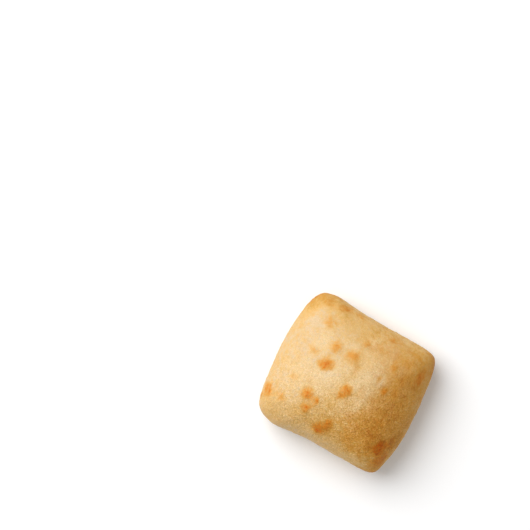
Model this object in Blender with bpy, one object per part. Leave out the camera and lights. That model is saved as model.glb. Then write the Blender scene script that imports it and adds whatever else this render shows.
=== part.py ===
"""A pillow-shaped ciabatta roll: a short length cut from a flat strip of dough, then baked.

Metres, +Z up. The roll lies on its flat base, with the origin under its middle. X runs across the
strip, from one rolled side to the other, and Y runs along it, from one cut side to the other.
"""

import math
from collections import namedtuple

import bmesh
import bpy
from mathutils import Vector, noise

# Driving dimensions.
ROLL_HEIGHT = 0.0400
BELLY_HEIGHT = 0.0150  # where the roll is widest
FOOT_SHARE = 0.82  # the flat foot's width, as a share of the belly's

# The plan outline. A side's reach runs from the origin to the side's middle, turn is how many
# degrees the side is out of square, and fall is how far it has curved in where it meets a diagonal.
# A cut side falls the other way: the cut drew its middle in and left its ends proud.
Side = namedtuple("Side", "facing turn reach fall")
SIDES = (
    Side(facing=0, turn=1.4, reach=0.0417, fall=0.0051),
    Side(facing=90, turn=-3.4, reach=0.0373, fall=-0.0017),
    Side(facing=180, turn=0.2, reach=0.0417, fall=0.0050),
    Side(facing=270, turn=1.6, reach=0.0373, fall=-0.0025),
)
STEEPEST_SLANT = 1.3  # a side stops curving this far past its own diagonal
# How square each corner is at the belly, as a superellipse's power. The first lies between +X and
# +Y, and the rest follow counter-clockwise. The two at +X are the sharper ones. Towards the top of
# the roll all four soften to the same low power, so no ridge runs up to the crown.
CORNER_POWERS = (22.0, 12.8, 8.2, 24.0)
CROWN_CORNER_POWER = 2.8

# The upright profile, as superellipse powers from the belly up and from the belly down.
ROLLED_DOME_POWER = 2.15  # towards the rolled sides
CUT_DOME_POWER = 2.45  # towards the cut sides, which stand steeper
UNDERSIDE_POWER = 3.0

# Unevenness from proving and baking: how wide the swells are, and how high.
Swell = namedtuple("Swell", "width height seed")
SWELLS = (
    Swell(width=0.0300, height=0.00110, seed=3.0),
    Swell(width=0.0130, height=0.00035, seed=17.0),
)
STILL_NEAR_TRAY = 0.0060  # the swells fade out this far above the tray

# Blisters, the bubbles under the skin that stand up and brown first: the middle in plan,
# the radius and the height.
Blister = namedtuple("Blister", "x y radius height")
BLISTERS = (
    Blister(-0.0156, 0.0043, 0.0048, 0.00055),
    Blister(-0.0153, 0.0148, 0.0040, 0.00040),
    Blister(-0.0043, 0.0144, 0.0044, 0.00045),
    Blister(0.0004, -0.0038, 0.0046, 0.00055),
    Blister(-0.0171, -0.0150, 0.0044, 0.00050),
    Blister(-0.0110, -0.0167, 0.0034, 0.00030),
    Blister(-0.0142, -0.0222, 0.0032, 0.00040),
    Blister(-0.0023, -0.0290, 0.0044, 0.00050),
    Blister(0.0011, -0.0241, 0.0030, 0.00035),
    Blister(0.0200, 0.0065, 0.0034, 0.00040),
    Blister(-0.0015, 0.0235, 0.0034, 0.00030),
    Blister(0.0326, -0.0234, 0.0056, 0.00060),
    Blister(-0.0250, 0.0251, 0.0034, 0.00025),
    Blister(0.0194, 0.0192, 0.0050, 0.00035),
)

# How finely the skin is divided: cells along each edge of the top, and from the base to the top.
TOP_CELLS = 44
UPRIGHT_CELLS = 14

CRUST_COLOUR = (0.745, 0.455, 0.175, 1.0)
CRUST_ROUGHNESS = 0.62


def clear_scene():
    for thing in list(bpy.data.objects):
        bpy.data.objects.remove(thing)


def smooth_step(value, low, high):
    """0 up to low, 1 from high on, and a smooth rise between them."""
    share = min(max((value - low) / (high - low), 0.0), 1.0)
    return share * share * (3.0 - 2.0 * share)


def corner_power(angle):
    """The belly's squareness in this direction: a corner's own on its diagonal, the mean on an axis."""
    mean = sum(CORNER_POWERS) / len(CORNER_POWERS)
    quarters = (angle / (math.pi / 2)) % 4.0
    quarter = int(quarters) % 4
    nearness = 0.5 * (1.0 - math.cos(2.0 * math.pi * (quarters - int(quarters))))
    return mean + (CORNER_POWERS[quarter] - mean) * nearness


def outline_reach(angle, climb):
    """How far the outline is from the upright through the origin, in this direction.

    climb is 0 for the belly's own outline and 1 for the rounder one that the crown follows.
    """
    belly_power = corner_power(angle)
    power = belly_power * (CROWN_CORNER_POWER / belly_power) ** climb
    total = 0.0
    for side in SIDES:
        off_square = angle - math.radians(side.facing + side.turn)
        towards = math.cos(off_square)
        if towards <= 0.0:
            continue
        slant = min(abs(math.sin(off_square)) / towards, STEEPEST_SLANT)
        distance = side.reach - side.fall * slant**2
        total += (towards / distance) ** power
    return total ** (-1.0 / power)


def dome_power(angle):
    """The dome's fullness in this direction, between the rolled sides' and the cut sides'."""
    along_strip = math.sin(angle) ** 2
    return ROLLED_DOME_POWER + (CUT_DOME_POWER - ROLLED_DOME_POWER) * along_strip


def dome_point(x, y, rise):
    """Where a ray from the middle of the belly, leaving it upwards, meets the smooth dome."""
    angle = math.atan2(y, x)
    crown = ROLL_HEIGHT - BELLY_HEIGHT
    climb = math.atan2(rise / crown, math.hypot(x, y) / outline_reach(angle, 0.0)) / (math.pi / 2)
    across = math.hypot(x, y) / outline_reach(angle, climb)
    power = dome_power(angle)
    stretch = (across**power + (rise / crown) ** power) ** (-1.0 / power)
    return Vector((x * stretch, y * stretch, BELLY_HEIGHT + rise * stretch))


def underside_point(x, y, drop):
    """Where a ray leaving the middle of the belly downwards meets the underside.

    drop is 0 for the belly and 1 for the foot's edge on the tray. The underside is part of a bulge
    that would reach below the tray, had the dough not lain flat.
    """
    angle = math.atan2(y, x)
    bulge = BELLY_HEIGHT / (1.0 - FOOT_SHARE**UNDERSIDE_POWER) ** (1.0 / UNDERSIDE_POWER)
    across = math.hypot(x, y) / outline_reach(angle, 0.0)
    fall = drop * across * BELLY_HEIGHT / FOOT_SHARE
    stretch = (across**UNDERSIDE_POWER + (fall / bulge) ** UNDERSIDE_POWER) ** (-1.0 / UNDERSIDE_POWER)
    return Vector((x * stretch, y * stretch, BELLY_HEIGHT - fall * stretch))


def swell_height(point):
    """How far proving has pushed the skin out here."""
    total = 0.0
    for swell in SWELLS:
        place = point / swell.width + Vector((swell.seed, -swell.seed, swell.seed))
        total += swell.height * noise.noise(place)
    return total * smooth_step(point.z, 0.0, STILL_NEAR_TRAY)


def blister_height(point):
    """How far a blister lifts the skin here. Blisters lie on the dome, above the belly."""
    if point.z < BELLY_HEIGHT:
        return 0.0
    lift = 0.0
    for blister in BLISTERS:
        apart = math.hypot(point.x - blister.x, point.y - blister.y) / blister.radius
        if apart < 1.0:
            lift = max(lift, blister.height * (1.0 - apart**2) ** 2)
    return lift


def even_spread(share):
    """Spaces a cube's grid so that its rays leave the middle at even angles."""
    return math.tan(share * math.pi / 4.0)


def is_level(edge):
    first, second = edge.verts
    return math.isclose(first.co.z, second.co.z, abs_tol=1e-6)


def divided_box():
    """A cube from -1 to 1 whose sides and top are grids and whose base is one flat face."""
    mesh = bmesh.new()
    bmesh.ops.create_cube(mesh, size=2.0)
    uprights = [edge for edge in mesh.edges if not is_level(edge)]
    bmesh.ops.subdivide_edges(mesh, edges=uprights, cuts=UPRIGHT_CELLS - 1, use_grid_fill=True)
    levels = [edge for edge in mesh.edges if is_level(edge)]
    bmesh.ops.subdivide_edges(mesh, edges=levels, cuts=TOP_CELLS - 1, use_grid_fill=True)
    mesh.normal_update()
    base = [face for face in mesh.faces if math.isclose(face.normal.z, -1.0, abs_tol=1e-6)]
    bmesh.ops.dissolve_faces(mesh, faces=base)
    return mesh


def shape_skin(mesh):
    """Moves the box's points onto the smooth roll."""
    half_x = (SIDES[0].reach + SIDES[2].reach) / 2
    half_y = (SIDES[1].reach + SIDES[3].reach) / 2
    for vertex in mesh.verts:
        across, along, upright = (even_spread(share) for share in vertex.co)
        if upright >= 0.0:
            rise = upright * (ROLL_HEIGHT - BELLY_HEIGHT)
            vertex.co = dome_point(across * half_x, along * half_y, rise)
        else:
            vertex.co = underside_point(across * half_x, along * half_y, -upright)


def raise_relief(mesh):
    """Raises the swells and blisters square to the skin. The foot stays flat on the tray."""
    mesh.normal_update()
    for vertex in mesh.verts:
        vertex.co += vertex.normal * (swell_height(vertex.co) + blister_height(vertex.co))


def stand_on_origin(mesh):
    """Moves the roll so that the origin is under the middle of its box."""
    low = Vector(min(vertex.co[i] for vertex in mesh.verts) for i in range(3))
    high = Vector(max(vertex.co[i] for vertex in mesh.verts) for i in range(3))
    offset = Vector(((low.x + high.x) / 2, (low.y + high.y) / 2, low.z))
    bmesh.ops.translate(mesh, verts=mesh.verts, vec=-offset)


def crust_material():
    material = bpy.data.materials.new("crust")
    material.use_nodes = True
    surface = material.node_tree.nodes["Principled BSDF"]
    surface.inputs["Base Color"].default_value = CRUST_COLOUR
    surface.inputs["Roughness"].default_value = CRUST_ROUGHNESS
    surface.inputs["Metallic"].default_value = 0.0
    return material


def build_roll():
    """The roll is one piece of bread, so it is one solid."""
    mesh = divided_box()
    shape_skin(mesh)
    raise_relief(mesh)
    stand_on_origin(mesh)
    data = bpy.data.meshes.new("ciabatta_roll")
    mesh.to_mesh(data)
    mesh.free()
    data.materials.append(crust_material())
    data.shade_smooth()
    roll = bpy.data.objects.new("ciabatta_roll", data)
    bpy.context.scene.collection.objects.link(roll)
    return roll


clear_scene()
build_roll()
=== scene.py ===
# %% [markdown]
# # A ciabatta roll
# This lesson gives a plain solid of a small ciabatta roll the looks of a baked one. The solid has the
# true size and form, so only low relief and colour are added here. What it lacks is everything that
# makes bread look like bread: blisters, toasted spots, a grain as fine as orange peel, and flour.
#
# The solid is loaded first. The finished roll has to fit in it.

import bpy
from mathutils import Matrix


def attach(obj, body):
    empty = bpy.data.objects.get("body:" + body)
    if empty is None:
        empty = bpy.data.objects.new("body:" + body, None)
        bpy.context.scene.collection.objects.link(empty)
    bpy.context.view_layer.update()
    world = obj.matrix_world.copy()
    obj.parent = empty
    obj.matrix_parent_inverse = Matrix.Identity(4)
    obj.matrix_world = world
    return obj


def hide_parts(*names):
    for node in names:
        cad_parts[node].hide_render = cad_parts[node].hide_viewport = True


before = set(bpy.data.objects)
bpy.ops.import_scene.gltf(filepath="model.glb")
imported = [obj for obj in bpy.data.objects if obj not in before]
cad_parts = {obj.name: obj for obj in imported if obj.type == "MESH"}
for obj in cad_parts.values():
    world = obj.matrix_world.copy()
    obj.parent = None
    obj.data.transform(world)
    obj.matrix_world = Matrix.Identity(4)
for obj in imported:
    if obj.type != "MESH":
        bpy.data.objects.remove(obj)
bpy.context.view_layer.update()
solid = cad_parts["ciabatta_roll"]

# %% [markdown]
# ## Camera, floor and light
# The photo was taken from straight above. The camera looks straight down from far off, so that it
# sees no more of one side than of another, and the roll lies as far from the picture's middle, and as
# much turned, as it does in the photo. One pixel there is 0.55 mm. The roll could be turned instead of
# the camera, but it is a part with axes of its own, so it stays where it is.

# %% Camera
import math

import bpy

MM = 0.001
PICTURE_PIXELS = 530
PIXEL = 0.55 * MM
ROLL_PIXEL = (347.0, 382.5)  # the middle of the roll in the photo
ROLL_TURN = math.radians(28.5)  # how far the photo shows the roll turned, clockwise
BELLY_HEIGHT = 15 * MM  # where the roll is widest
CAMERA_DISTANCE = 1.30
SENSOR_WIDTH = 36  # millimetres
FURTHEST = 10  # nothing lies further from the camera than this


def make_camera():
    data = bpy.data.cameras.new("camera")
    data.sensor_width = SENSOR_WIDTH
    data.lens = SENSOR_WIDTH * CAMERA_DISTANCE / (PICTURE_PIXELS * PIXEL)
    data.clip_end = FURTHEST
    camera = bpy.data.objects.new("camera", data)
    bpy.context.scene.collection.objects.link(camera)
    right = (PICTURE_PIXELS / 2 - ROLL_PIXEL[0]) * PIXEL
    up = (ROLL_PIXEL[1] - PICTURE_PIXELS / 2) * PIXEL
    cos, sin = math.cos(ROLL_TURN), math.sin(ROLL_TURN)
    camera.location = (right * cos - up * sin, right * sin + up * cos, BELLY_HEIGHT + CAMERA_DISTANCE)
    camera.rotation_euler = (0, 0, ROLL_TURN)
    bpy.context.scene.camera = camera
    return camera


camera = make_camera()
print("the camera is at", [round(value, 2) for value in camera.location])
print("its lens has", round(camera.data.lens), "mm")

# %% [markdown]
# Colours are easiest to judge on a screen, so this lesson writes them as screen values from 0 to 255.
# Shaders want linear values. Those could be typed in, but they don't show which colour they are, so
# a helper turns one into the other, along the curve that screens use.

# %% Colours
def screen_colour(red, green, blue):
    """A colour as seen on a screen, in the linear values of a shader."""
    linear = []
    for value in (red, green, blue):
        share = value / 255
        linear.append(share / 12.92 if share <= 0.04045 else ((share + 0.055) / 1.055) ** 2.4)
    return (*linear, 1.0)


def plain_material(name, colour, roughness, shine):
    """A material of one colour."""
    material = bpy.data.materials.new(name)
    material.use_nodes = True
    surface = material.node_tree.nodes["Principled BSDF"]
    surface.inputs["Base Color"].default_value = colour
    surface.inputs["Roughness"].default_value = roughness
    surface.inputs["Specular IOR Level"].default_value = shine
    return material


print("screen grey 128 is", round(screen_colour(128, 128, 128)[0], 3), "to a shader")

# %% [markdown]
# The floor is a plain white sheet. It is far wider than the picture, so that its edge never shows, and
# lies just below the roll, so that the two don't flicker through each other.

# %% Floor
FLOOR_HALF_WIDTH = 4.0
FLOOR_GAP = 0.2 * MM
FLOOR_COLOUR = screen_colour(246, 246, 246)


def make_floor():
    data = bpy.data.meshes.new("floor")
    corners = [(-1, -1), (1, -1), (1, 1), (-1, 1)]
    places = [(x * FLOOR_HALF_WIDTH, y * FLOOR_HALF_WIDTH, -FLOOR_GAP) for x, y in corners]
    data.from_pydata(places, [], [(0, 1, 2, 3)])
    data.materials.append(plain_material("floor", FLOOR_COLOUR, roughness=0.9, shine=0.1))
    floor = bpy.data.objects.new("floor", data)
    bpy.context.scene.collection.objects.link(floor)
    return floor


floor = make_floor()
print("the floor is", 2 * FLOOR_HALF_WIDTH, "m wide")

# %% [markdown]
# The light is soft and comes from the picture's upper left, with white all round, so the shadow at
# the lower right is pale and has no edge. A small lamp would draw a hard shadow. One large lamp high on
# that side, over a white world, gives the soft one.

# %% Lamp and world
from mathutils import Vector

KEY_LAMP = {"towards": (-0.78, 0.23, 1.00), "distance": 2.4, "size": 2.2, "power": 60.0}
WORLD_STRENGTH = 0.50


def make_lamp(name, towards, distance, size, power):
    data = bpy.data.lights.new(name, "AREA")
    data.shape = "DISK"
    data.size = size
    data.energy = power
    lamp = bpy.data.objects.new(name, data)
    direction = Vector(towards).normalized()
    lamp.location = direction * distance
    lamp.rotation_mode = "QUATERNION"
    lamp.rotation_quaternion = direction.to_track_quat("Z", "Y")
    bpy.context.scene.collection.objects.link(lamp)
    return lamp


def make_world():
    world = bpy.data.worlds.new("studio")
    world.use_nodes = True
    background = world.node_tree.nodes["Background"]
    background.inputs["Color"].default_value = (1, 1, 1, 1)
    background.inputs["Strength"].default_value = WORLD_STRENGTH
    bpy.context.scene.world = world


key = make_lamp("key", **KEY_LAMP)
make_world()
bpy.context.scene.view_settings.view_transform = "Standard"
print("the lamp hangs at", [round(value, 2) for value in key.location])

# %% [markdown]
# ## The skin
# The solid's facets are about 2 mm wide, which is far too coarse for blisters. More subdivision alone
# would leave long thin faces at the sides. So Catmull-Clark subdivision rounds the facets first, and a
# voxel remesh then spreads even cells of half a millimetre over the whole roll, the base too. The
# solid comes as loose triangles, so a copy of it is merged before anything else, and the edge of its
# flat foot is creased, so that it stays put.

# %% Merging a copy of the solid
import bmesh

SAME_PLACE = 0.001 * MM
PAIRING_ANGLE = math.radians(60)  # two triangles that bend less than this may become one face
FOOT_LEVEL = 0.01 * MM
NEARLY_UPRIGHT = 0.99  # the z of a face's normal, which only the base's faces reach, downwards


def crease_foot(mesh):
    """Marks the edge between the flat base and the sides, so that rounding leaves it alone."""
    crease = mesh.edges.layers.float.new("crease_edge")
    for edge in mesh.edges:
        lies_low = all(vertex.co.z < FOOT_LEVEL for vertex in edge.verts)
        if lies_low and any(abs(face.normal.z) < NEARLY_UPRIGHT for face in edge.link_faces):
            edge[crease] = 1.0


def welded_copy(node):
    """A copy of the solid's mesh with its points merged and its triangles paired."""
    mesh = bmesh.new()
    mesh.from_mesh(node.data)
    bmesh.ops.remove_doubles(mesh, verts=mesh.verts, dist=SAME_PLACE)
    limits = {"angle_face_threshold": PAIRING_ANGLE, "angle_shape_threshold": PAIRING_ANGLE}
    bmesh.ops.join_triangles(mesh, faces=mesh.faces, **limits)
    crease_foot(mesh)
    data = bpy.data.meshes.new("crust")
    mesh.to_mesh(data)
    mesh.free()
    return data


merged = welded_copy(solid)
print("the merged copy has", len(merged.polygons), "faces")

# %% [markdown]
# Modifiers are applied by asking Blender for the mesh that they end in. The same helper serves the
# Geometry Nodes further on, which are modifiers too.

# %% Even cells
SKIN_CELL = 0.50 * MM
ROUNDING_LEVELS = 2


def bake_modifiers(piece):
    """Replaces a piece's mesh by what its modifiers make of it, and removes them."""
    evaluated = piece.evaluated_get(bpy.context.evaluated_depsgraph_get())
    made = bpy.data.meshes.new_from_object(evaluated)
    piece.modifiers.clear()
    old = piece.data
    piece.data = made
    bpy.data.meshes.remove(old)
    return piece


def make_skin(data):
    skin = bpy.data.objects.new("crust", data)
    bpy.context.scene.collection.objects.link(skin)
    rounding = skin.modifiers.new("rounding", "SUBSURF")
    rounding.levels = rounding.render_levels = ROUNDING_LEVELS
    cells = skin.modifiers.new("even cells", "REMESH")
    cells.mode = "VOXEL"
    cells.voxel_size = SKIN_CELL
    cells.use_smooth_shade = True
    return bake_modifiers(skin)


skin = make_skin(merged)
print("the skin has", len(skin.data.vertices), "points and", len(skin.data.polygons), "faces")

# %% [markdown]
# ## Where the oven left its marks
# Three things vary over the crust. The first is toasted spots, where a blister stood up and browned.
# They could be painted by hand on the mesh, but a list can be read, moved and tried again. So each spot
# is a soft mark with a place in plan, two radii, a depth and a turn. The depth is how toasted its
# middle is, from 0 to 1. The numbers weren't chosen by hand: a program outside this lesson fitted them
# to the photo by least squares, and they were then rounded to half a millimetre, five degrees and a
# twentieth.

# %% Toasted spots
from collections import namedtuple

# Places and radii are in millimetres, and turns in degrees.
Mark = namedtuple("Mark", "x y across along depth turn", defaults=[0])

TOASTED_SPOTS = [
    Mark(-15.0, 3.5, 8.0, 6.5, 0.95, turn=25),
    Mark(1.5, -5.0, 6.0, 8.0, 0.95, turn=-20),
    Mark(-16.0, -16.0, 7.0, 6.5, 0.95, turn=30),
    Mark(-10.0, -17.5, 3.0, 6.0, 0.75),
    Mark(-13.5, -23.0, 4.0, 5.0, 0.95, turn=-10),
    Mark(-2.0, -30.0, 7.5, 5.5, 0.75, turn=-25),
    Mark(1.0, -25.0, 4.5, 9.0, 0.65, turn=-35),
    Mark(-36.5, -24.0, 11.0, 8.0, 0.80, turn=-10),
    Mark(-28.0, -24.0, 5.5, 6.5, 0.50),
    Mark(-27.5, -11.0, 6.0, 5.5, 0.40),
    Mark(-24.0, 7.0, 8.0, 5.0, 0.45, turn=-5),
    Mark(-14.5, 14.0, 6.5, 9.5, 0.60, turn=-35),
    Mark(-4.0, 14.0, 10.0, 8.0, 0.60, turn=25),
    Mark(-0.5, 24.0, 5.5, 6.0, 0.45),
    Mark(-24.5, 24.5, 8.0, 6.5, 0.55, turn=20),
    Mark(-29.5, 34.5, 8.0, 7.5, 0.40, turn=-15),
    Mark(-19.5, 35.5, 11.0, 4.5, 0.60, turn=30),
    Mark(-10.5, 36.0, 7.0, 4.5, 0.50, turn=-5),
    Mark(11.5, 32.5, 8.0, 4.0, 0.45, turn=20),
    Mark(39.0, 28.0, 6.0, 11.5, 0.40, turn=-10),
    Mark(34.5, 21.0, 6.0, 13.5, 0.60, turn=-20),
    Mark(19.5, 19.0, 4.0, 9.5, 0.40, turn=25),
    Mark(26.5, 15.0, 5.5, 9.0, 0.35, turn=5),
    Mark(14.5, 10.0, 3.5, 6.0, 0.45, turn=-5),
    Mark(20.5, 5.5, 3.0, 4.0, 0.70, turn=-15),
    Mark(26.5, 6.5, 4.5, 6.5, 0.40),
    Mark(26.0, -11.5, 8.0, 3.5, 0.45, turn=-5),
    Mark(37.5, -18.5, 6.0, 9.5, 0.35),
    Mark(32.5, -23.5, 5.0, 9.5, 0.90, turn=-35),
    Mark(36.0, -29.5, 9.0, 11.5, 0.65, turn=-5),
]
print(len(TOASTED_SPOTS), "toasted spots")

# %% [markdown]
# The second is how golden the crust has turned: most at the corners and on the side turned from the
# lamp, least in the middle. On the side turned from the lamp it is partly painted shade. The third is
# flour, which stayed where the oven didn't brown the crust. Both are lists of
# wide marks of the same kind, and their numbers come from the same fit. A depth below 0 takes away
# from the other marks. Some of the flour's depths are above 1, which lays it thicker where a patch
# lies alone.

# %% Golden patches and flour
# The wide patches on +X, the side turned from the lamp, are partly real browning and partly painted
# shade.
GOLD_AND_SHADE_PATCHES = [
    Mark(30.0, 4.5, 41.0, 55.0, 0.75),
    Mark(27.0, -18.0, 33.0, 24.5, 0.80),
    Mark(34.5, -38.0, 25.0, 17.0, 0.40),
    Mark(36.5, -37.5, 17.0, 10.5, 0.70),
    Mark(-8.0, -29.5, 59.5, 11.5, 0.25),
    Mark(0.5, -24.5, 17.0, 17.5, 0.45),
    Mark(-26.5, -35.5, 11.5, 7.0, 0.25),
    Mark(-46.0, 41.0, 36.0, 20.5, 0.75),
    Mark(-29.5, 31.0, 11.0, 21.0, -0.55),
    Mark(4.0, 40.0, 26.5, 54.0, 0.35),
    Mark(18.0, 24.5, 31.0, 9.5, 0.25),
    Mark(38.0, 35.0, 11.5, 18.5, 0.95),
    Mark(0.5, -9.5, 29.5, 5.0, 0.25),
    Mark(-5.0, -15.0, 5.0, 4.5, 0.20),
    Mark(1.0, 9.0, 3.5, 7.0, 0.40),
    Mark(12.0, -8.5, 8.0, 7.0, -0.70),
    Mark(15.5, 9.5, 4.5, 5.5, -0.75),
]
FLOUR_PATCHES = [
    Mark(13.5, 6.5, 38.5, 52.0, 1.55),
    Mark(-25.5, -6.5, 24.0, 41.5, 0.95),
    Mark(-12.0, -2.0, 12.0, 28.5, 1.50),
    Mark(-2.0, 16.0, 16.5, 14.0, 1.70),
    Mark(-22.5, 11.0, 7.5, 23.5, 1.35),
]
print(len(GOLD_AND_SHADE_PATCHES), "golden patches and", len(FLOUR_PATCHES), "of flour")

# %% [markdown]
# Spots low on the sides can't be placed in plan, because the side is too steep there. They have a
# bearing and a height instead, and are round. The photo doesn't show them, so they are a guess: they
# go all the way round, at uneven steps.

# %% Spots on the sides
# Bearings are in degrees from +X, and heights and radii in millimetres.
SideMark = namedtuple("SideMark", "bearing height radius depth")

SIDE_SPOTS = [
    SideMark(-100, 17.0, 3.6, 0.55),
    SideMark(-76, 12.0, 3.0, 0.40),
    SideMark(-52, 15.0, 4.2, 0.60),
    SideMark(-22, 18.0, 4.0, 0.55),
    SideMark(-8, 11.0, 3.2, 0.40),
    SideMark(14, 20.0, 4.4, 0.50),
    SideMark(38, 15.0, 4.6, 0.60),
    SideMark(66, 19.0, 3.4, 0.50),
    SideMark(84, 12.0, 3.8, 0.45),
    SideMark(112, 16.0, 3.2, 0.55),
    SideMark(141, 14.0, 4.8, 0.60),
    SideMark(168, 19.0, 3.6, 0.40),
    SideMark(192, 13.0, 4.0, 0.50),
    SideMark(216, 17.0, 4.4, 0.55),
    SideMark(244, 12.0, 3.0, 0.40),
]
print(len(SIDE_SPOTS), "spots on the sides")

# %% [markdown]
# ## The crust's material
# The colour of bread is a matter of how far each bit of crust has baked: cream at first, then straw,
# gold and brown. Colours could be painted on the mesh, but its cells are too coarse for the finest
# grain. So the material works out one number at every point, how far it has baked, and reads the
# colour off a ramp. Flour and toast then go over it. The marks above reach it as attributes, which a
# later step paints on the skin. All the rest is placed by Object coordinates, in metres.
#
# A material is a tree of nodes. One helper adds a node, sets its options, and fills its inputs, either
# with a plain value or with a link from another node's output.

# %% Adding nodes
def find_input(node, key):
    """An input by its place, or by its name among the ones in use."""
    if isinstance(key, int):
        return node.inputs[key]
    return next(socket for socket in node.inputs if socket.enabled and socket.name == key)


def add(tree, kind, inputs=None, **options):
    """Adds a node to a tree and returns its first output in use."""
    node = tree.nodes.new(kind)
    for option, value in options.items():
        setattr(node, option, value)
    for key, value in (inputs or {}).items():
        if isinstance(value, bpy.types.NodeSocket):
            tree.links.new(value, find_input(node, key))
        else:
            find_input(node, key).default_value = value
    return next((socket for socket in node.outputs if socket.enabled), None)


def part_along(tree, vector, axis):
    """How far a vector reaches along one axis."""
    return add(tree, "ShaderNodeSeparateXYZ", {0: vector}).node.outputs[axis]


crust = bpy.data.materials.new("baked_crust")
crust.use_nodes = True
look = crust.node_tree
place = look.nodes.new("ShaderNodeTexCoord").outputs["Object"]
height = part_along(look, place, "Z")
print("the crust's material starts with", len(look.nodes), "nodes")

# %% [markdown]
# Crust is uneven at every scale. Clouds of a centimetre, mottling of a few millimetres and short
# strokes give that. An image could too, but noise has no seams and no end. A noise node gives values
# about a half. Here they are stretched to lie about 0, so that a noise can be added to anything, with
# a weight that says how much of it there is.

# %% Clouds and mottling
CLOUD_SIZE = 13 * MM
MOTTLE_SIZE = 3.4 * MM
NOISE_STRETCH = 4.0  # noise seldom strays a quarter from its middle, so this spreads it to -1 and 1


def calculate(tree, operation, *values, clamp=False):
    return add(tree, "ShaderNodeMath", dict(enumerate(values)), operation=operation, use_clamp=clamp)


def noise(tree, where, scale, detail=2.0, roughness=0.5):
    """Random values about a half. The scale is how many lumps there are to a metre."""
    inputs = {"Vector": where, "Scale": scale, "Detail": detail, "Roughness": roughness}
    return add(tree, "ShaderNodeTexNoise", inputs)


def lumps(tree, where, size, **options):
    """Soft variation about 0, nearly all of it from -1 to 1, with lumps of about this size."""
    values = noise(tree, where, 1 / size, **options)
    return calculate(tree, "MULTIPLY_ADD", values, NOISE_STRETCH, -NOISE_STRETCH / 2)


clouds = lumps(look, place, CLOUD_SIZE, detail=3.0)
mottle = lumps(look, place, MOTTLE_SIZE, detail=3.0, roughness=0.6)
print("with clouds and mottling there are", len(look.nodes), "nodes")

# %% [markdown]
# The dough was stretched as it was shaped, which left short strokes in its skin. Lumps become strokes
# when the place that they are read from is squeezed, and these wander, because that place is first
# shifted about by a wider noise. Straight strokes would look like cloth.

# %% Strokes
STREAK_SIZE = 1.6 * MM
STROKE_WAVES = 0.15  # how often the path of a stroke turns, in each width of it
STROKE_REACH = 8.0  # how far the path wanders, in widths
STROKE_SQUEEZE = (1.0, 0.7, 0.85)  # strokes come out longest along Y


def vector_from(tree, operation, *values):
    return add(tree, "ShaderNodeVectorMath", dict(enumerate(values)), operation=operation)


def scaled(tree, vector, factor):
    return add(tree, "ShaderNodeVectorMath", {0: vector, "Scale": factor}, operation="SCALE")


def bent(tree, where, scale, reach):
    """A place shifted about at random, by up to about this far."""
    shift = noise(tree, where, scale, detail=1.0).node.outputs["Color"]
    return vector_from(tree, "ADD", where, scaled(tree, shift, reach))


def strokes(tree, where, size):
    """Like lumps, but drawn out into short strokes that wander."""
    wandering = bent(tree, where, STROKE_WAVES / size, STROKE_REACH * size)
    return lumps(tree, vector_from(tree, "MULTIPLY", wandering, STROKE_SQUEEZE), size)


streaks = strokes(look, place, STREAK_SIZE)
print("with strokes there are", len(look.nodes), "nodes")

# %% [markdown]
# Close up, crust is as grainy as orange peel. Displacing the mesh that finely would need cells of a
# tenth of a millimetre, which is millions of faces. So the grain stays a number in the material, which
# will tint the colour and drive a bump. It is stronger towards +X and -Y, the side turned from the
# lamp,
# where raking light shows grain most: in the colour that is painted shade and highlight. It is weaker
# low down.

# %% Where the grain is strong
LIT_TO_SHADED_SIDE = (-25 * MM, 30 * MM)  # the grain grows stronger from the first place to the second
GRAIN_STRENGTHS = (0.5, 1.7)  # on the lit side, and on the side turned from the lamp
SIDE_TO_TOP = (18 * MM, 30 * MM)  # and it grows stronger from the first height to the second
SIDE_GRAIN = 0.4  # the share of its strength that the grain keeps low down


def ease(tree, value, start, end, low=0.0, high=1.0):
    """Goes smoothly from low to high as the value goes from start to end."""
    inputs = {"Value": value, "From Min": start, "From Max": end, "To Min": low, "To Max": high}
    return add(tree, "ShaderNodeMapRange", inputs, interpolation_type="SMOOTHSTEP")


def total(tree, value, *parts):
    """Adds parts to a value, each with its own weight."""
    for part, weight in parts:
        value = calculate(tree, "MULTIPLY_ADD", part, weight, value)
    return value


# Painted shade and highlight: the grain's colour grows stronger towards the side turned from the lamp.
towards_shaded_side = calculate(look, "MULTIPLY", part_along(look, place, "Y"), -1.0)
towards_shaded_side = total(look, towards_shaded_side, (part_along(look, place, "X"), 0.5))
strength = ease(look, towards_shaded_side, *LIT_TO_SHADED_SIDE, *GRAIN_STRENGTHS)
strength = calculate(look, "MULTIPLY", strength, ease(look, height, *SIDE_TO_TOP, SIDE_GRAIN, 1.0))
print("the grain's strength takes the tree to", len(look.nodes), "nodes")

# %% [markdown]
# The grain itself is rounded bumps of a millimetre with finer strokes over them. Voronoi cells give
# the bumps, because noise has no such round shapes. Dust is a second grain, finer yet.

# %% Bumps, fine strokes and dust
BUMP_SIZE = 1.1 * MM
FINE_STROKE_SIZE = 0.6 * MM
DUST_SIZE = 0.45 * MM
BUBBLE_WAVES = 0.6  # how often bubbles are shifted another way, in each width of one
BUBBLE_REACH = 0.9  # how far they are shifted, in widths
BUBBLE_DROP = -3.2  # how fast a bubble falls away from its middle
BUBBLE_TOP = 1.5  # the value at the very middle
BUMP_WEIGHT = 0.45
STROKE_WEIGHT = 0.75


def bubbles(tree, where, size):
    """Round bumps of about this size, from about -1 in the gaps between them to over 1 on top."""
    shifted = bent(tree, where, BUBBLE_WAVES / size, BUBBLE_REACH * size)
    inputs = {"Vector": shifted, "Scale": 1 / size, "Smoothness": 0.3}
    distance = add(tree, "ShaderNodeTexVoronoi", inputs, feature="SMOOTH_F1")
    return calculate(tree, "MULTIPLY_ADD", distance, BUBBLE_DROP, BUBBLE_TOP)


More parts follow.
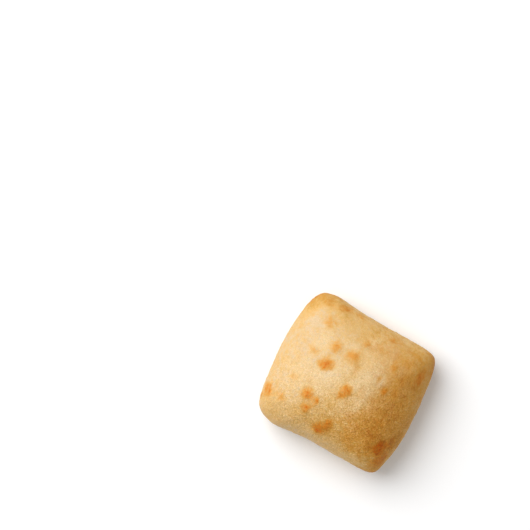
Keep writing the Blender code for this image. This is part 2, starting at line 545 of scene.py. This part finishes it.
round_bumps = bubbles(look, place, BUMP_SIZE)
fine_strokes = strokes(look, place, FINE_STROKE_SIZE)
grain = total(look, 0.0, (round_bumps, BUMP_WEIGHT), (fine_strokes, STROKE_WEIGHT))
grain = calculate(look, "MULTIPLY", grain, strength)
dust = calculate(look, "MULTIPLY", lumps(look, place, DUST_SIZE, detail=1.0), strength)
print("with the grain there are", len(look.nodes), "nodes")

# %% [markdown]
# How far the crust has baked runs from 0, cream, to 1, brown. The golden patches give most of it, and
# on the side turned from the lamp part of that is painted shade. The skin round a toasted spot is a
# little darker, creases in the sides stayed pale, and the tray browned the foot. This even bake is kept
# for the flour, which follows it. Then clouds, mottling and strokes make it uneven.

# %% How far the crust has baked
GOLD_AND_SHADE_WEIGHT = 0.82
NEAR_SPOT_WEIGHT = 0.12
CREASE_WEIGHT = -0.30
FOOT_BAKE = 0.46
FOOT_BAND = (3.0 * MM, 0.5 * MM)  # not browned above the first height, and fully below the second


def painted(tree, name):
    """What is painted on the skin under this name."""
    return add(tree, "ShaderNodeAttribute", attribute_name=name).node.outputs["Fac"]


toasted = painted(look, "toasted")
creased = painted(look, "crease")
near_spot = ease(look, toasted, 0.0, 0.6)
foot = total(look, FOOT_BAKE, (clouds, 0.2), (mottle, 0.3))
foot = calculate(look, "MULTIPLY", foot, ease(look, height, *FOOT_BAND))
# Partly painted shade: the golden patches are deepest on the side turned from the lamp.
gold_and_shade = calculate(look, "MULTIPLY", painted(look, "golden"), GOLD_AND_SHADE_WEIGHT)
spots_and_creases = (near_spot, NEAR_SPOT_WEIGHT), (creased, CREASE_WEIGHT)
even_bake = total(look, gold_and_shade, *spots_and_creases, (foot, 1.0))
bake = total(look, even_bake, (clouds, 0.10), (mottle, 0.13), (streaks, 0.12))
print("with the baking there are", len(look.nodes), "nodes")

# %% [markdown]
# A ramp turns that number into a colour. Two colours mixed would do for paint, but bread browns along
# a curve: it loses blue first, and only then red. So the ramp has seven steps, whose colours come
# from the fit that gave the marks. Even the palest crust has baked a little, so the ramp isn't read
# from its very start.

# %% The colours of baking
LEAST_BAKE = 0.14
BAKE_STEPS = [  # how far the crust has baked, and its colour there
    (0.00, (209, 180, 139)),
    (0.20, (212, 173, 113)),
    (0.40, (209, 165, 96)),
    (0.55, (198, 150, 75)),
    (0.70, (197, 140, 56)),
    (0.85, (187, 128, 43)),
    (1.00, (172, 106, 22)),
]


def ramp(tree, value, steps):
    """Turns a value into a colour, by steps of (value, screen colour)."""
    node = add(tree, "ShaderNodeValToRGB", {"Fac": value}).node
    elements = node.color_ramp.elements
    elements[0].position, elements[1].position = steps[0][0], steps[-1][0]
    for position, _ in steps[1:-1]:
        elements.new(position)
    for element, (_, colour) in zip(elements, steps):
        element.color = screen_colour(*colour)
    return node.outputs["Color"]


colour = ramp(look, calculate(look, "ADD", bake, LEAST_BAKE, clamp=True), BAKE_STEPS)
print("the ramp of baking has", len(BAKE_STEPS), "colours")

# %% [markdown]
# The baker's flour is a thin film that lets the crust show through. It could be a shell just above the
# skin, but a mix of two colours needs no second surface. The film lies where the flour patches put it,
# low on the sides, and in the creases, which hold flour. The oven burnt it off the brown crust. For
# that it follows the even bake, because the uneven one would give the film a ragged edge.

# %% A film of flour
SIDE_FLOUR = 0.30
SIDE_FLOUR_TOP = (16 * MM, 10 * MM)  # none above the first height, and all of it below the second
SIDE_FLOUR_FOOT = (1 * MM, 4 * MM)  # none below the first height, and all of it above the second
CREASE_FLOUR = 0.5
THICKEST_FILM = 0.55  # the most that the film hides of the crust, before any specks
FILM_ON_BROWN = 0.1  # the share of the film that deep brown keeps

low_down = ease(look, height, *SIDE_FLOUR_TOP)
low_down = calculate(look, "MULTIPLY", low_down, ease(look, height, *SIDE_FLOUR_FOOT))
on_sides = total(look, SIDE_FLOUR, (clouds, 0.7), (mottle, 0.5))
film = total(look, painted(look, "floury"), (clouds, 0.10), (mottle, 0.20))
film = calculate(look, "MULTIPLY_ADD", on_sides, low_down, film)
film = total(look, film, (creased, CREASE_FLOUR))
film = ease(look, film, 0.3, 1.7, 0.0, THICKEST_FILM)
film = calculate(look, "MULTIPLY", film, ease(look, even_bake, 0.70, 0.25, FILM_ON_BROWN, 1.0))
print("with the film of flour there are", len(look.nodes), "nodes")

# %% [markdown]
# The roll also picked up flour from the tray, on its base alone. Specks follow the grain, paler on its
# bumps and darker in its gaps: partly specks of flour, partly a painted highlight and shade on the
# grain, fainter on brown crust. The darkest toast carries no flour at all.

# %% Tray flour, specks and painted glints
FLOUR_COLOUR = screen_colour(235, 215, 177)
BASE_BAND = (1.2 * MM, 0.2 * MM)  # none above the first height, and all of it below the second
THICKEST_TRAY_FLOUR = 0.75
SPECK_AND_GLINT_WEIGHT = 0.12
SPECKS_AND_GLINTS_ON_BROWN = 0.35


def blend(tree, share, first, second, kind="MIX"):
    """The first colour with a share of the second in it, or multiplied by it."""
    inputs = {"Factor": share, "A": first, "B": second}
    return add(tree, "ShaderNodeMix", inputs, data_type="RGBA", blend_type=kind)


on_base = ease(look, height, *BASE_BAND)
tray_flour = total(look, 0.5, (clouds, 1.0), (mottle, 0.9))
tray_flour = ease(look, tray_flour, 0.2, 1.8, 0.0, THICKEST_TRAY_FLOUR)
film = calculate(look, "MAXIMUM", film, calculate(look, "MULTIPLY", tray_flour, on_base))
# Partly flour specks, partly painted highlight on the grain's bumps and painted shade in its gaps.
specks_and_glints = total(look, 0.0, (grain, SPECK_AND_GLINT_WEIGHT), (dust, SPECK_AND_GLINT_WEIGHT))
specks_and_glints = calculate(look, "MULTIPLY", specks_and_glints, ease(look, bake, 0.8, 0.2, SPECKS_AND_GLINTS_ON_BROWN, 1.0))
film = calculate(look, "MAXIMUM", calculate(look, "ADD", film, specks_and_glints), 0.0)
film = calculate(look, "MULTIPLY", film, ease(look, toasted, 0.7, 0.1))
colour = blend(look, film, colour, FLOUR_COLOUR)
print("with all the flour there are", len(look.nodes), "nodes")

# %% [markdown]
# Toast is a clear brown glaze that deepens what lies under it. So its colour is multiplied over the
# rest instead of mixed in. The grain then paints shade into its own hollows and a faint highlight on
# its bumps, as the light does on real pores.

# %% Toast, and painted shade in the hollows
PORE_SHADING_WEIGHT = 0.11
TOAST_STEPS = [  # how toasted a spot is, and the glaze that its colour is multiplied by
    (0.00, (255, 255, 255)),
    (0.15, (255, 250, 242)),
    (0.35, (255, 240, 216)),
    (0.60, (254, 224, 174)),
    (0.85, (250, 199, 124)),
    (1.00, (234, 158, 70)),
]

toast = total(look, toasted, (mottle, 0.10), (streaks, 0.17), (grain, 0.14))
toast = calculate(look, "MULTIPLY", toast, near_spot)
colour = blend(look, 1.0, colour, ramp(look, toast, TOAST_STEPS), "MULTIPLY")
# Painted shade in the grain's hollows and painted highlight on its bumps.
painted_pore_shading = total(look, 1.0, (grain, PORE_SHADING_WEIGHT), (dust, PORE_SHADING_WEIGHT))
colour = blend(look, 1.0, colour, painted_pore_shading, "MULTIPLY")
print("the glaze has", len(TOAST_STEPS), "colours")

# %% [markdown]
# Baked crust is nearly matt, and flour more so. A little light goes into bread and comes out again
# nearby, reddened. Subsurface scattering gives that, and without it the roll looks like painted
# plaster. The grain drives the bump.

# %% The surface of the crust
BUMP_HEIGHT = 0.09 * MM
BARE_ROUGHNESS = 0.60
FLOURY_ROUGHNESS = 0.85
SHINE = 0.12
SCATTER_SHARE = 0.12
SCATTER_REACH = 1.0 * MM
SCATTER_COLOURS = (1.0, 0.45, 0.2)  # how far red, green and blue travel, as shares of the reach

surface = look.nodes["Principled BSDF"]
relief = total(look, grain, (dust, 0.25))
bump = add(look, "ShaderNodeBump", {"Height": relief, "Distance": BUMP_HEIGHT, "Strength": 1.0})
roughness = ease(look, film, 0.0, 0.5, BARE_ROUGHNESS, FLOURY_ROUGHNESS)
look.links.new(bump, surface.inputs["Normal"])
look.links.new(colour, surface.inputs["Base Color"])
look.links.new(roughness, surface.inputs["Roughness"])
surface.inputs["Specular IOR Level"].default_value = SHINE
surface.inputs["Subsurface Weight"].default_value = SCATTER_SHARE
surface.inputs["Subsurface Radius"].default_value = SCATTER_COLOURS
surface.inputs["Subsurface Scale"].default_value = SCATTER_REACH
print("the crust's material has", len(look.nodes), "nodes in all")

# %% [markdown]
# ## Painting the marks
# Each mark has to find its place on the skin. The marks of the top were matched to the photo, so each
# goes where a ray from the camera meets the skin. A mark on a side goes where a level ray from outside
# meets it. The nearest point of the skin would do for the top too, but on a slope it would lie off
# the line that the photo shows.

# %% Finding places on the skin
from mathutils import bvhtree


def skin_surface():
    """The skin as it is now, in a form that rays can meet."""
    return bvhtree.BVHTree.FromObject(skin, bpy.context.evaluated_depsgraph_get())


def place_on(surface, mark):
    """Where a mark lies, or for a mark past the roll's edge the nearest place on the skin."""
    if isinstance(mark, SideMark):
        bearing = math.radians(mark.bearing)
        outwards = Vector((math.cos(bearing), math.sin(bearing), 0))  # a metre long, so well outside
        return surface.ray_cast(outwards + Vector((0, 0, mark.height * MM)), -outwards)[0]
    aim = Vector((mark.x * MM, mark.y * MM, BELLY_HEIGHT))
    return surface.ray_cast(camera.location, aim - camera.location)[0] or surface.find_nearest(aim)[0]


bare_skin = skin_surface()
heights = [place_on(bare_skin, mark).z / MM for mark in TOASTED_SPOTS + SIDE_SPOTS]
print("toasted spots lie from", round(min(heights)), "to", round(max(heights)), "mm above the tray")

# %% [markdown]
# Geometry Nodes can't read a list, but they can read a mesh. So each list becomes a mesh of loose
# points on the skin, one for each mark, that carry the marks' numbers as attributes.

# %% Marks as points
def numbers_of(mark):
    """A mark's two radii in metres, its turn in radians and its depth."""
    if isinstance(mark, SideMark):
        return {"across": mark.radius * MM, "along": mark.radius * MM, "turn": 0.0, "depth": mark.depth}
    turn = math.radians(mark.turn)
    return {"across": mark.across * MM, "along": mark.along * MM, "turn": turn, "depth": mark.depth}


def points_from(name, marks):
    """One loose point on the skin for each mark, with the mark's numbers."""
    surface = skin_surface()
    data = bpy.data.meshes.new(name)
    data.from_pydata([place_on(surface, mark) for mark in marks], [], [])
    numbers = [numbers_of(mark) for mark in marks]
    for field in numbers[0]:
        layer = data.attributes.new(field, "FLOAT", "POINT")
        layer.data.foreach_set("value", [values[field] for values in numbers])
    points = bpy.data.objects.new(name, data)
    bpy.context.scene.collection.objects.link(points)
    return points


print("a mark carries", ", ".join(numbers_of(TOASTED_SPOTS[0])))

# %% [markdown]
# Geometry Nodes are trees too, so the same helpers serve. A tree has named inputs, so that one tree can
# be run with other values, and its result is kept as a plain mesh. The first tree paints soft marks. A
# Repeat Zone takes one mark at a time and hands on how covered each point of the skin is by then.

# %% A tree that takes one mark at a time
def new_tree(name, sockets):
    """An empty Geometry Nodes tree with named inputs: (name, kind of socket, starting value)."""
    tree = bpy.data.node_groups.new(name, "GeometryNodeTree")
    tree.interface.new_socket("Geometry", in_out="INPUT", socket_type="NodeSocketGeometry")
    for label, kind, value in sockets:
        socket = tree.interface.new_socket(label, in_out="INPUT", socket_type="NodeSocket" + kind)
        if value is not None:
            socket.default_value = value
    tree.interface.new_socket("Geometry", in_out="OUTPUT", socket_type="NodeSocketGeometry")
    start = tree.nodes.new("NodeGroupInput")
    return tree, {socket.name: socket for socket in start.outputs if socket.name}


paint, given = new_tree("soft marks", [
    ("Marks", "Object", None),
    ("Attribute", "String", ""),
    ("Wobble Size", "Float", 2 * MM),
    ("Wobble", "Float", 0.3),
    ("Core", "Float", 0.3),
    ("Rise", "Float", 0.0),
])
points = add(paint, "GeometryNodeObjectInfo", {"Object": given["Marks"]}).node.outputs["Geometry"]
count = add(paint, "GeometryNodeAttributeDomainSize", {"Geometry": points}, component="MESH")
opening = paint.nodes.new("GeometryNodeRepeatInput")
closing = paint.nodes.new("GeometryNodeRepeatOutput")
opening.pair_with_output(closing)
closing.repeat_items.clear()
closing.repeat_items.new("FLOAT", "Cover")
paint.links.new(count, opening.inputs["Iterations"])
number = opening.outputs["Iteration"]
print("the tree takes", ", ".join(given))

# %% [markdown]
# The distance from a mark is measured in the mark's own radii, so that it is 1 at the rim of an oval as
# well as of a circle. No baked spot is a neat oval, so noise bends the distance. The cover is full
# inside the core and fades to nothing at the rim.

# %% How much one mark covers
def sampled(tree, source, index, value, kind="FLOAT"):
    """A value of one of the source's points."""
    inputs = {"Geometry": source, "Value": value, "Index": index}
    return add(tree, "GeometryNodeSampleIndex", inputs, data_type=kind)


def named(tree, name):
    """The attribute of this name."""
    return add(tree, "GeometryNodeInputNamedAttribute", {"Name": name}, data_type="FLOAT")


here = add(paint, "GeometryNodeInputPosition")
fields = ("across", "along", "turn", "depth")
across, along, turn, depth = (sampled(paint, points, number, named(paint, field)) for field in fields)
offset = vector_from(paint, "SUBTRACT", here, sampled(paint, points, number, here, "FLOAT_VECTOR"))
back = calculate(paint, "MULTIPLY", turn, -1.0)
turned = add(paint, "ShaderNodeVectorRotate", {"Vector": offset, "Angle": back}, rotation_type="Z_AXIS")
upright = calculate(paint, "MAXIMUM", across, along)
radii = add(paint, "ShaderNodeCombineXYZ", {"X": across, "Y": along, "Z": upright})
distance = vector_from(paint, "LENGTH", vector_from(paint, "DIVIDE", turned, radii))
wobble = noise(paint, here, calculate(paint, "DIVIDE", 1.0, given["Wobble Size"]))
wobble = calculate(paint, "MULTIPLY", calculate(paint, "SUBTRACT", wobble, 0.5), given["Wobble"])
cover = ease(paint, calculate(paint, "ADD", distance, wobble), 1.0, given["Core"])
cover = calculate(paint, "MULTIPLY", cover, depth)
print("the tree has", len(paint.nodes), "nodes so far")

# %% [markdown]
# Every mark leaves a share of the skin bare, and where marks overlap these shares are multiplied. Plain
# adding would toast the skin to more than 1 where two spots meet, and keeping only the stronger mark
# would show a seam between them. A mark whose depth is below 0 makes the bare share larger, so it
# takes away.

# %% Adding the marks up
def bare_share(tree, cover):
    return calculate(tree, "SUBTRACT", 1.0, cover)


bare_so_far = bare_share(paint, opening.outputs["Cover"])
bare = calculate(paint, "MULTIPLY", bare_share(paint, cover), bare_so_far)
paint.links.new(bare_share(paint, bare), closing.inputs["Cover"])
covered = closing.outputs["Cover"]
print("with all marks added up there are", len(paint.nodes), "nodes")

# %% [markdown]
# The result is stored as an attribute. It can raise the skin too, because a toasted spot is a blister
# that stood up.

# %% Storing the marks
def stored(tree, geometry, name, value):
    """Keeps a value at every point of the geometry, as an attribute of this name."""
    inputs = {"Geometry": geometry, "Name": name, "Value": value}
    return add(tree, "GeometryNodeStoreNamedAttribute", inputs, data_type="FLOAT", domain="POINT")


def raised(tree, geometry, rise):
    """The skin moved outwards by this much, square to itself."""
    offset = scaled(tree, add(tree, "GeometryNodeInputNormal"), rise)
    return add(tree, "GeometryNodeSetPosition", {"Geometry": geometry, "Offset": offset})


def close_tree(tree, geometry, material):
    """Ends a tree in Realize Instances and Set Material."""
    whole = add(tree, "GeometryNodeRealizeInstances", {"Geometry": geometry})
    finished = add(tree, "GeometryNodeSetMaterial", {"Geometry": whole, "Material": material})
    end = tree.nodes.new("NodeGroupOutput")
    tree.links.new(finished, end.inputs[0])


skin_with_marks = stored(paint, given["Geometry"], given["Attribute"], covered)
rise = calculate(paint, "MULTIPLY", covered, given["Rise"])
close_tree(paint, raised(paint, skin_with_marks, rise), crust)
print("the tree for marks has", len(paint.nodes), "nodes")

# %% [markdown]
# Now the tree runs three times, with other marks and values each time. Drifts of flour have the most
# uneven rims. Only the toasted spots rise, by a tenth of a millimetre where they are fully toasted.

# %% Running the tree
def use_tree(piece, tree, values):
    """Runs a tree on a piece with these input values, and keeps the result as a plain mesh."""
    modifier = piece.modifiers.new(tree.name, "NODES")
    modifier.node_group = tree
    for item in tree.interface.items_tree:
        if item.in_out == "INPUT" and item.name in values:
            modifier[item.identifier] = values[item.name]
    return bake_modifiers(piece)


SPOT_LOOK = {"Wobble Size": 4.0 * MM, "Wobble": 0.5, "Core": 0.0, "Rise": 0.10 * MM}
GOLD_AND_SHADE_LOOK = {"Wobble Size": 9 * MM, "Wobble": 0.35, "Core": 0.1}
FLOURY_LOOK = {"Wobble Size": 7 * MM, "Wobble": 0.8, "Core": 0.0}
layers = [
    ("toasted", TOASTED_SPOTS + SIDE_SPOTS, SPOT_LOOK),
    ("golden", GOLD_AND_SHADE_PATCHES, GOLD_AND_SHADE_LOOK),
    ("floury", FLOUR_PATCHES, FLOURY_LOOK),
]
for name, marks, values in layers:
    dots = points_from(name + " marks", marks)
    use_tree(skin, paint, {"Marks": dots, "Attribute": name, **values})
    bpy.data.objects.remove(dots)
    print(len(marks), name, "marks are painted")

# %% [markdown]
# ## Wrinkles and dimples
# As the dough rose, its sides folded a little above the tray and its top stretched. So the sides carry
# shallow level wrinkles, and the whole roll has soft dimples. Both could be sculpted, but noise does
# every side at once and in the same way. A wrinkle lies where noise that is stretched sideways passes
# through its middle value, which happens along long thin lines. A second noise breaks the lines up.

# %% Where the wrinkles lie
LINE_WIDTH = 0.09  # how far from the middle value the noise may be inside a wrinkle
BREAKS_PER_METRE = 110.0
BREAK_START, BREAK_END = 0.36, 0.56  # the wrinkle is gone below the first and whole above the second

wrinkling, given = new_tree("uneven skin", [
    ("Wrinkle Length", "Float", 12 * MM),
    ("Wrinkle Spacing", "Float", 3 * MM),
    ("Wrinkle Depth", "Float", 0.2 * MM),
    ("Lowest", "Float", 2 * MM),
    ("Highest", "Float", 18 * MM),
    ("Dimple Size", "Float", 8 * MM),
    ("Dimple Depth", "Float", 0.1 * MM),
])
here = add(wrinkling, "GeometryNodeInputPosition")
up = part_along(wrinkling, here, "Z")
lowest, highest = given["Lowest"], given["Highest"]
halfway = calculate(wrinkling, "MULTIPLY", calculate(wrinkling, "ADD", lowest, highest), 0.5)
from_below, from_above = ease(wrinkling, up, lowest, halfway), ease(wrinkling, up, highest, halfway)
sides = ease(wrinkling, calculate(wrinkling, "MULTIPLY", from_below, from_above), 0.0, 0.6)
length, spacing = given["Wrinkle Length"], given["Wrinkle Spacing"]
cell = add(wrinkling, "ShaderNodeCombineXYZ", {"X": length, "Y": length, "Z": spacing})
level = noise(wrinkling, vector_from(wrinkling, "DIVIDE", here, cell), 1.0, detail=3.0)
off_line = calculate(wrinkling, "ABSOLUTE", calculate(wrinkling, "SUBTRACT", level, 0.5))
breaks = noise(wrinkling, here, BREAKS_PER_METRE, detail=1.0)
breaks = ease(wrinkling, breaks, BREAK_START, BREAK_END)
crease = calculate(wrinkling, "MULTIPLY", ease(wrinkling, off_line, LINE_WIDTH, 0.0), breaks)
crease = calculate(wrinkling, "MULTIPLY", crease, sides)
print("the tree for wrinkles has", len(wrinkling.nodes), "nodes so far")

# %% [markdown]
# The wrinkles are stored too, for the crust's material to leave them pale and floury. Dimples come
# from a plain noise. They fade out at the foot, which has to stay flat.

# %% Wrinkles and dimples in the skin
STILL_FOOT = (0.5 * MM, 4 * MM)  # no dimples below the first height, and whole ones above the second

dimple_scale = calculate(wrinkling, "DIVIDE", 1.0, given["Dimple Size"])
dimples = calculate(wrinkling, "MULTIPLY_ADD", noise(wrinkling, here, dimple_scale), 2.0, -1.0)
dimples = calculate(wrinkling, "MULTIPLY", dimples, ease(wrinkling, up, *STILL_FOOT))
rise = calculate(wrinkling, "MULTIPLY", dimples, given["Dimple Depth"])
fall = calculate(wrinkling, "MULTIPLY", crease, given["Wrinkle Depth"])
with_creases = stored(wrinkling, given["Geometry"], "crease", crease)
uneven = raised(wrinkling, with_creases, calculate(wrinkling, "SUBTRACT", rise, fall))
close_tree(wrinkling, uneven, crust)

use_tree(skin, wrinkling, {
    "Wrinkle Length": 30 * MM, "Wrinkle Spacing": 7 * MM, "Wrinkle Depth": 0.75 * MM,
    "Lowest": 1.5 * MM, "Highest": 19 * MM, "Dimple Depth": 0.35 * MM,
})
values = [item.value for item in skin.data.attributes["crease"].data]
print("wrinkles take up", round(100 * sum(values) / len(values)), "percent of the skin")

# %% [markdown]
# ## Fine blisters
# Close up, the whole crust is pebbled. Each bubble just under the skin lifts it by about a tenth of a
# millimetre. A displacement texture could do it, but blisters keep apart from each other, which noise
# doesn't. So a tree scatters points that keep a distance, and raises a dome round each. The flat base
# has pits from steam, which are the same thing upside down, so the tree can choose the base instead.

# %% Scattering blisters
BASE_SLOPE = -0.9  # a face whose normal points down more than this belongs to the base
SMALLEST = 0.45  # the smallest blister, as a share of the largest
UNLIMITED = 1e7  # points to a square metre: the distance between them is the only limit

swelling, given = new_tree("fine blisters", [
    ("Spacing", "Float", 1.5 * MM),
    ("Radius", "Float", 0.8 * MM),
    ("Height", "Float", 0.05 * MM),
    ("Underside", "Bool", False),
    ("Seed", "Int", 0),
])
slope = part_along(swelling, add(swelling, "GeometryNodeInputNormal"), "Z")
is_base = add(swelling, "FunctionNodeCompare", {"A": slope, "B": BASE_SLOPE}, operation="LESS_THAN")
chosen = add(swelling, "FunctionNodeBooleanMath", {0: is_base, 1: given["Underside"]}, operation="XNOR")
scattered = add(swelling, "GeometryNodeDistributePointsOnFaces", {
    "Mesh": given["Geometry"], "Selection": chosen, "Distance Min": given["Spacing"],
    "Density Max": UNLIMITED, "Seed": given["Seed"],
}, distribute_method="POISSON")
limits = {"Min": SMALLEST, "Max": 1.0, "Seed": given["Seed"]}
share = add(swelling, "FunctionNodeRandomValue", limits, data_type="FLOAT")
middles = stored(swelling, scattered, "share", share)
print("the tree for blisters has", len(swelling.nodes), "nodes so far")

# %% [markdown]
# Each point of the skin looks for the nearest middle of a blister and rises by how near it is. One
# copy of a dome on each middle would be simpler, but it would lie on the skin as a thing of its own,
# while this lifts the skin itself. The tree runs three times: for blisters, pebbles and pits.

# %% Raising a dome round each
here = add(swelling, "GeometryNodeInputPosition")
to_nearest = {"Geometry": middles, "Sample Position": here}
nearest = add(swelling, "GeometryNodeSampleNearest", to_nearest, domain="POINT")
middle = sampled(swelling, middles, nearest, here, "FLOAT_VECTOR")
size = sampled(swelling, middles, nearest, named(swelling, "share"))
distance = vector_from(swelling, "DISTANCE", here, middle)
radius = calculate(swelling, "MULTIPLY", given["Radius"], size)
dome = ease(swelling, calculate(swelling, "DIVIDE", distance, radius), 1.0, 0.0)
rise = calculate(swelling, "MULTIPLY", calculate(swelling, "MULTIPLY", dome, size), given["Height"])
close_tree(swelling, raised(swelling, given["Geometry"], rise), crust)

BLISTERS = {"Spacing": 5 * MM, "Radius": 2.2 * MM, "Height": 0.14 * MM, "Seed": 4}
PEBBLES = {"Spacing": 1.5 * MM, "Radius": 0.95 * MM, "Height": 0.06 * MM, "Seed": 9}
PITS = {"Spacing": 3 * MM, "Radius": 1.6 * MM, "Height": -0.3 * MM, "Underside": True, "Seed": 2}
for values in (BLISTERS, PEBBLES, PITS):
    use_tree(skin, swelling, values)
triangles = sum(len(face.vertices) - 2 for face in skin.data.polygons)
print("the skin has", triangles, "triangles")

# %% [markdown]
# ## Flour
# The baker's flour is a film in the material. But some of it lies in loose grains, which catch the
# light on the shoulders of the roll. They are real geometry: Geometry Nodes scatter eight-sided grains
# over a copy of the skin, in drifts, and leave out the toasted spots. Particles could do the same, but
# here one tree holds the size, the amount and the seed.

# %% Where grains of flour fall
FLOURY_PULL = 0.35  # how much likelier a drift is where the skin is floury
DRIFT_START, DRIFT_END = 0.45, 0.9  # no grains below the first value, and most above the second

sprinkling, given = new_tree("flour grains", [
    ("Grains Per Area", "Float", 1.0),
    ("Grain Radius", "Float", 0.1 * MM),
    ("Patch Size", "Float", 4 * MM),
    ("Seed", "Int", 0),
])
here = add(sprinkling, "GeometryNodeInputPosition")
drifts = noise(sprinkling, here, calculate(sprinkling, "DIVIDE", 1.0, given["Patch Size"]), detail=3.0)
pull = calculate(sprinkling, "MULTIPLY", named(sprinkling, "floury"), FLOURY_PULL)
drifts = ease(sprinkling, calculate(sprinkling, "ADD", drifts, pull), DRIFT_START, DRIFT_END)
density = calculate(sprinkling, "MULTIPLY", drifts, given["Grains Per Area"])
off_gold_and_shade = ease(sprinkling, named(sprinkling, "golden"), 0.7, 0.2)
density = calculate(sprinkling, "MULTIPLY", density, off_gold_and_shade)
off_toast = ease(sprinkling, named(sprinkling, "toasted"), 0.4, 0.05)
density = calculate(sprinkling, "MULTIPLY", density, off_toast)
print("the tree for flour has", len(sprinkling.nodes), "nodes so far")

# %% [markdown]
# A grain is a ball of only eight faces. It is about a tenth of a millimetre wide, so nobody sees that
# it isn't round, and thousands of rounder ones would be heavy. Each is turned at random, and their
# sizes vary.

# %% Grains of flour
GRAIN_COLOUR = screen_colour(232, 217, 188)
GRAIN_FACES = 8
GRAIN_SIZES = (0.5, 1.3)  # as shares of the usual radius
ANY_TURN = (6.3, 6.3, 6.3)  # radians, which is just over a whole turn

scattered = add(sprinkling, "GeometryNodeDistributePointsOnFaces", {
    "Mesh": given["Geometry"], "Density": density, "Seed": given["Seed"],
})
shape = {"Segments": 4, "Rings": 2, "Radius": given["Grain Radius"]}
ball = add(sprinkling, "GeometryNodeMeshUVSphere", shape)
turns = {"Max": ANY_TURN, "Seed": 1}
turn = add(sprinkling, "FunctionNodeRandomValue", turns, data_type="FLOAT_VECTOR")
limits = {"Min": GRAIN_SIZES[0], "Max": GRAIN_SIZES[1], "Seed": 2}
size = add(sprinkling, "FunctionNodeRandomValue", limits, data_type="FLOAT")
placing = {"Points": scattered, "Instance": ball, "Rotation": turn, "Scale": size}
grains = add(sprinkling, "GeometryNodeInstanceOnPoints", placing)
close_tree(sprinkling, grains, plain_material("flour", GRAIN_COLOUR, roughness=0.95, shine=0.2))

flour = bpy.data.objects.new("flour", skin.data.copy())
bpy.context.scene.collection.objects.link(flour)
use_tree(flour, sprinkling, {"Grains Per Area": 5.0e6, "Grain Radius": 0.06 * MM, "Seed": 5})
if flour.data.materials[0] is None:
    flour.data.materials.pop(index=0)  # the bare grain's own slot
print("there are", len(flour.data.polygons) // GRAIN_FACES, "grains of flour")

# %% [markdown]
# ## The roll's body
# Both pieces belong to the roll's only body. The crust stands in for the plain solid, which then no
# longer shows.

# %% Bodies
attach(flour, "root")
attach(skin, "root")
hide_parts("ciabatta_roll")
print("the pieces are", skin.name, "and", flour.name)
